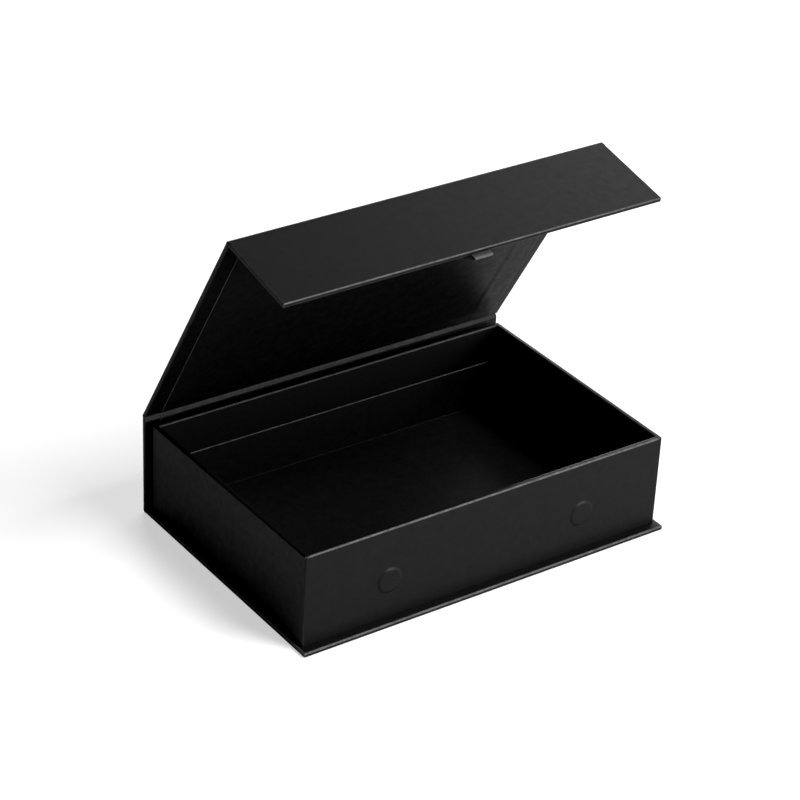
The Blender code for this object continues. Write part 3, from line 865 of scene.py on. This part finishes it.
def trayWrapPiece():
    side, floor, rim = tray["width"] / 2, tray["floor"], tray["rim"]
    front, back = tray["front"], tray["back"]
    tiny = 1e-5
    piece = addBlock("trayWrap", (-side, front, floor), (side, back, rim))
    pick(piece, "FACE", lambda c, n: n.z > 0.9)
    bpy.ops.mesh.inset(thickness=tray["wall"])
    bpy.ops.mesh.extrude_region_move(TRANSFORM_OT_translate={"value": (0, 0, -tray["turnIn"])})
    bpy.ops.mesh.delete(type="FACE")
    closeEdit()
    pick(piece, "FACE", lambda c, n: n.z < -0.9 and c.z < floor + tiny)
    bpy.ops.mesh.inset(thickness=tray["underMargin"])
    bpy.ops.mesh.delete(type="FACE")
    closeEdit()
    innerX, innerFront, innerBack = side - tray["wall"], front + tray["wall"], back - tray["wall"]

    def rimEdge(middle, along):
        return middle.z > rim - tiny and abs(along.z) < 0.1 and not mitre(middle, along)

    def mitre(middle, along):
        return abs(along.x) > 0.1 and abs(along.y) > 0.1

    def upright(middle, along):
        outside = abs(middle.x) > side - tiny and (middle.y < front + tiny or middle.y > back - tiny)
        return abs(along.z) > 0.9 and outside

    pick(piece, "EDGE", lambda m, a: rimEdge(m, a) or upright(m, a))
    bpy.ops.mesh.bevel(offset=tray["rimRadius"], segments=5, affect="EDGES", clamp_overlap=False)
    closeEdit()
    embossDiscs(piece, front, rim)
    # each rim gets its own points near the corners, so that it can be worn and given its painted highlight by itself
    for place in (-1, 1):
        cutAll(piece, (place * (side - tray["wall"] - 1 * mm), 0, 0), (1, 0, 0))
        cutAll(piece, (0, place * (back - tray["wall"] - 1 * mm), 0), (0, 1, 0))
    thicken(piece, paper)
    markTrayWearAndHighlight(piece, side, front, back, rim)
    smooth(piece, 40)
    return dress(piece, wrapPaper, "tray", ("tray_wrap",))


def embossDiscs(piece, front, rim):
    # the steel discs behind the front wall press through the paper
    centreZ = rim - discs["drop"]
    reach = discs["patch"]
    cuts = [((x + s * reach, 0, 0), (1, 0, 0)) for x in (-discs["spacing"] / 2, discs["spacing"] / 2) for s in (-1, 1)]
    cuts += [((0, 0, centreZ + s * reach), (0, 0, 1)) for s in (-1, 1)]
    for point, normal in cuts:
        pick(piece, "FACE", lambda c, n: n.y < -0.99 and c.y < front + 1e-5)
        bpy.ops.mesh.bisect(plane_co=point, plane_no=normal)
        closeEdit()

    def patch(c, n):
        near = abs(abs(c.x) - discs["spacing"] / 2) < reach and abs(c.z - centreZ) < reach
        return near and n.y < -0.99 and c.y < front + 1e-5

    pick(piece, "FACE", patch)
    bpy.ops.mesh.subdivide(number_cuts=discs["cuts"], ngon=True)
    closeEdit()
    for vertex in piece.data.vertices:
        if vertex.co.y > front + 1e-5:
            continue
        away = math.hypot(abs(vertex.co.x) - discs["spacing"] / 2, vertex.co.z - centreZ)
        if away < discs["foot"]:
            lift = ease((discs["foot"] - away) / (discs["foot"] - discs["flat"]))
            vertex.co.y -= discs["rise"] * lift


def markTrayWearAndHighlight(piece, side, front, back, rim):
    # the rim's edges are worn and carry a painted highlight, most at the front and on the right, and its flat top
    # hardly
    rubAndHighlight = piece.data.attributes.new("edgeWearAndHighlightMark", "FLOAT", "POINT")
    r, wall = tray["rimRadius"], tray["wall"]
    wearAndHighlight = {"front": (0.38, 0.0), "back": (0.03, 0.15), "right": (0.1, 0.04), "left": (0.0, 0.0)}   # outer, inner edge
    for vertex, value in zip(piece.data.vertices, rubAndHighlight.data):
        x, y, z = vertex.co
        depths = {"front": y - front, "back": back - y, "right": side - x, "left": side + x}
        wallName = min(depths, key=lambda key: abs(depths[key] - wall / 2))
        depth = depths[wallName]
        outX = max(0.0, 1 - (side - abs(x)) / r)
        outY = max(0.0, 1 - min(y - front, back - y) / r)
        top = max(0.0, min(1.0, 1 - (rim - z) / r))
        outer, inner = wearAndHighlight[wallName]
        edges = ((1 - depth / r, outer), (1 - (wall - depth) / r, inner))
        onRim = max(amount * max(0.0, min(1.0, 4 * (min(top, near) - 0.05))) for near, amount in edges)
        # a faint painted highlight down the outer vertical corners
        upright = 0.09 * min(1.0, min(outX, outY) / 0.45) if z < rim - r else 0.0
        value.value = max(onRim, upright)


def trayLiningPiece():
    edge = tray["wall"] + 0.03 * mm
    x = tray["width"] / 2 - edge
    low, high = (-x, tray["front"] + edge, 6.25 * mm), (x, tray["back"] - edge, tray["rim"] - 22 * mm)
    piece = addBlock("trayLining", low, high)
    pick(piece, "FACE", lambda c, n: n.z > 0.9)
    bpy.ops.mesh.delete(type="FACE")
    closeEdit()
    pick(piece, "EDGE", lambda m, a: m.z < high[2] - 1e-5)
    bpy.ops.mesh.bevel(offset=0.6 * mm, segments=4, affect="EDGES", clamp_overlap=False)
    closeEdit()
    for depth in (0.3 * mm, 0.6 * mm):
        cutAll(piece, (0, 0, high[2] - depth), (0, 0, 1))
    thicken(piece, 0.4 * mm)
    softenEdges(piece, 0.1 * mm)
    # the top edge is lightened: partly its cut fibres, partly a painted highlight
    rubAndHighlight = piece.data.attributes.new("edgeWearAndHighlightMark", "FLOAT", "POINT")
    for vertex, value in zip(piece.data.vertices, rubAndHighlight.data):
        value.value = 1.0 if vertex.co.z > high[2] - 0.31 * mm else 0.0
    smooth(piece, 35)
    return dress(piece, liningPaper, "tray", ("tray_liner",))


trayWrapPiece()
trayLiningPiece()
print("tray wrapped and lined")


# ---- the pull ribbon: a loop whose lower leg comes back a little to the left

def ribbonPath():
    # (along, depth, across) in the flap's frame, down one leg, round the fold and back
    edge, reach, bend = cover["flapLength"], ribbon["reach"], ribbon["bend"]
    upper = thick + 0.16 * mm
    tongue = ribbon["tongue"]
    straight = 10
    path = []
    for i in range(straight + 1):
        t = i / straight
        path.append((edge - tongue + (tongue + reach - bend) * t, upper, 0.0))
    for i in range(1, 9):
        a = math.pi * i / 9
        path.append((edge + reach - bend + bend * math.sin(a), upper + bend * (1 - math.cos(a)), 0.0))
    for i in range(straight + 1):
        t = i / straight
        path.append((edge + reach - bend - (tongue + reach - bend) * t, upper + 2 * bend - 0.25 * mm * ease(t * 2.2), 0.0))
    length = [0.0]
    for a, b in zip(path, path[1:]):
        length.append(length[-1] + math.hypot(b[0] - a[0], b[1] - a[1]))
    turnAt = length[straight + 4]
    total = length[-1]
    skewed = []
    for (along, depth, across), done in zip(path, length):
        swing = max(0.0, (done - turnAt) / (ribbon["reach"] + 1.5 * mm))
        skewed.append((along, depth, ribbon["across"] + ribbon["skew"] * min(1.0, swing)))
    return skewed, total


def markRibbon(piece, path):
    # painted shade: the inside of the loop and the lower leg are coloured near black; painted highlight: the fold and
    # selvedges are coloured lighter
    middle = -path[0][1] - ribbon["bend"]
    inside = piece.data.attributes.new("inside", "FLOAT", "POINT")
    foldHighlight = piece.data.attributes.new("foldHighlight", "FLOAT", "POINT")
    for i, vertex in enumerate(piece.data.vertices):
        past = -vertex.co.y - (cover["flapLength"] + ribbon["reach"] - ribbon["bend"])
        away = math.hypot(max(0.0, past), vertex.co.z - middle)
        lower = vertex.co.z < middle and past < 0
        inside.data[i].value = 1.0 if away < ribbon["bend"] or lower else 0.0
        atSide = abs(vertex.co.x - ribbon["across"]) > 0.49 * ribbon["width"] and vertex.co.z > middle
        foldHighlight.data[i].value = 1.0 if past > -0.1 * mm or atSide else 0.0


def pullRibbon():
    path, total = ribbonPath()
    width, across = ribbon["width"], 14
    piece = addSheet("pullRibbon", (0, 0), (1, 1), 0)
    makeActive(piece)
    bpy.ops.object.mode_set(mode="EDIT")
    bpy.ops.mesh.subdivide(number_cuts=len(path) - 2)
    closeEdit()
    rows = len(path) - 1
    uv = piece.data.uv_layers[0] if piece.data.uv_layers else piece.data.uv_layers.new(name="weave")
    places = [(vertex.co.x, round(vertex.co.y * rows)) for vertex in piece.data.vertices]
    for loop in piece.data.loops:
        x, row = places[loop.vertex_index]
        uv.data[loop.index].uv = (x * width, total * row / rows)
    for vertex, (x, row) in zip(piece.data.vertices, places):
        along, depth, shift = path[row]
        vertex.co = Vector((shift + (x - 0.5) * width, -along, -depth))
    makeActive(piece)
    step = piece.modifiers.new("thickness", "SOLIDIFY")
    step.thickness = ribbon["thick"]
    step.offset = 0.0
    bpy.ops.object.modifier_apply(modifier=step.name)
    bpy.ops.object.mode_set(mode="EDIT")
    bpy.ops.mesh.select_all(action="SELECT")
    bpy.ops.mesh.normals_make_consistent(inside=False)
    closeEdit()
    markRibbon(piece, path)
    smooth(piece, 60, weighted=False)
    placePiece(piece, flapPlace)
    dress(piece, silkRibbon, "flap", ("pull_ribbon",))


pullRibbon()
print("ribbon folded")


# ---- hidden pieces keep their CAD shapes

hiddenFinish = {
    greyBoard: ["base_board", "spine_board", "lid_board", "flap_board", "tray_front_board", "tray_back_board",
                "tray_left_board", "tray_right_board", "tray_floor_board"],
    cornerTape: ["front_left_tape", "front_right_tape", "back_left_tape", "back_right_tape"],
    plainSteel: ["left_steel_disc", "right_steel_disc"],
    nickelPlate: ["left_magnet", "right_magnet"],
}
for material, names in hiddenFinish.items():
    for name in names:
        mesh = nodes[name].data
        mesh.materials.clear()
        mesh.materials.append(material)


# ---- studio

studio = {
    "floorSize": 14.0,
    "floorTone": (0.6, 0.6, 0.6),
    "floorGlow": 0.5,
    "worldTone": (1.0, 1.0, 1.0),
    "worldStrength": 1.0,
    "blackPoint": 0.004,
}


def studioFloor():
    deselectAll()
    bpy.ops.mesh.primitive_plane_add(size=studio["floorSize"], location=(0, 0, 0))
    floor = bpy.context.object
    floor.name = "studioFloor"
    material, tree, shader = newMaterial("paleFloor")
    place = tree.nodes.new("ShaderNodeTexCoord").outputs["Object"]
    tone = mixColour(tree, noise(tree, place, 3, 2), tuple(0.985 * c for c in studio["floorTone"]), studio["floorTone"])
    tree.links.new(tone, shader.inputs["Base Color"])
    shader.inputs["Roughness"].default_value = 0.8
    shader.inputs["Specular IOR Level"].default_value = 0.2
    shader.inputs["Emission Color"].default_value = (1, 1, 1, 1)
    # the glow keeps the table white to the lens, also far off, and isn't seen in the box's own gloss
    seen = tree.nodes.new("ShaderNodeLightPath").outputs["Is Camera Ray"]
    distance = tree.nodes.new("ShaderNodeVectorMath")
    distance.operation = "LENGTH"
    tree.links.new(place, distance.inputs[0])
    glow = spread(tree, distance.outputs["Value"], 0.4, 2.2, studio["floorGlow"], 1.0)
    tree.links.new(maths(tree, "MULTIPLY", seen, glow), shader.inputs["Emission Strength"])
    floor.data.materials.append(material)


studioFloor()

world = bpy.data.worlds.new("studioWorld")
bpy.context.scene.world = world
world.use_nodes = True
backdrop = world.node_tree.nodes["Background"]
backdrop.inputs["Color"].default_value = (*studio["worldTone"], 1)
seen = world.node_tree.nodes.new("ShaderNodeLightPath").outputs["Is Camera Ray"]
onlySeen = maths(world.node_tree, "MULTIPLY", seen, studio["worldStrength"])
world.node_tree.links.new(onlySeen, backdrop.inputs["Strength"])

# softboxes: azimuth from the front towards the right, elevation, and power
softboxes = {
    "key": (30, 50, 47.5),
    "lowFront": (30, 10, 34.0),
    "rightRim": (120, 30, 9.0),
    "lowBack": (150, 10, 23.0),
    "leftFill": (300, 60, 5.5),
}


def addSoftbox(name, azimuth, elevation, power):
    a, e = math.radians(azimuth), math.radians(elevation)
    distance, size = 2.0, 0.8
    aim = Vector((0, 0, 0.08))
    away = Vector((math.sin(a) * math.cos(e), -math.cos(a) * math.cos(e), math.sin(e)))
    lamp = bpy.data.lights.new(name, "AREA")
    lamp.shape = "SQUARE"
    lamp.size = size
    lamp.energy = power
    light = bpy.data.objects.new(name, lamp)
    bpy.context.scene.collection.objects.link(light)
    light.location = aim + away * distance
    light.rotation_euler = (-away).to_track_quat("-Z", "Y").to_euler()
    light.visible_camera = False
    return light


for name, values in softboxes.items():
    addSoftbox(name, *values)

view = {
    "place": Vector((-0.7578, -1.0160, 0.8114)),
    "look": Vector((0.5139, 0.6952, -0.5027)),
    "right": Vector((0.8193, -0.5714, 0.0475)),
    "lens": 126.5,
}
lens = bpy.data.cameras.new("photoLens")
lens.lens = view["lens"]
lens.sensor_width = 36
lens.sensor_fit = "HORIZONTAL"
lens.clip_start = 0.05
camera = bpy.data.objects.new("photoCamera", lens)
bpy.context.scene.collection.objects.link(camera)
look = view["look"].normalized()
right = (view["right"] - look * view["right"].dot(look)).normalized()
up = right.cross(look)
camera.matrix_world = Matrix.Translation(view["place"]) @ Matrix((right, up, -look)).transposed().to_4x4()
bpy.context.scene.camera = camera
display = bpy.context.scene.view_settings
display.view_transform = "Standard"
display.use_curve_mapping = True
display.curve_mapping.black_level = (studio["blackPoint"],) * 3
display.curve_mapping.update()
print("studio lit")
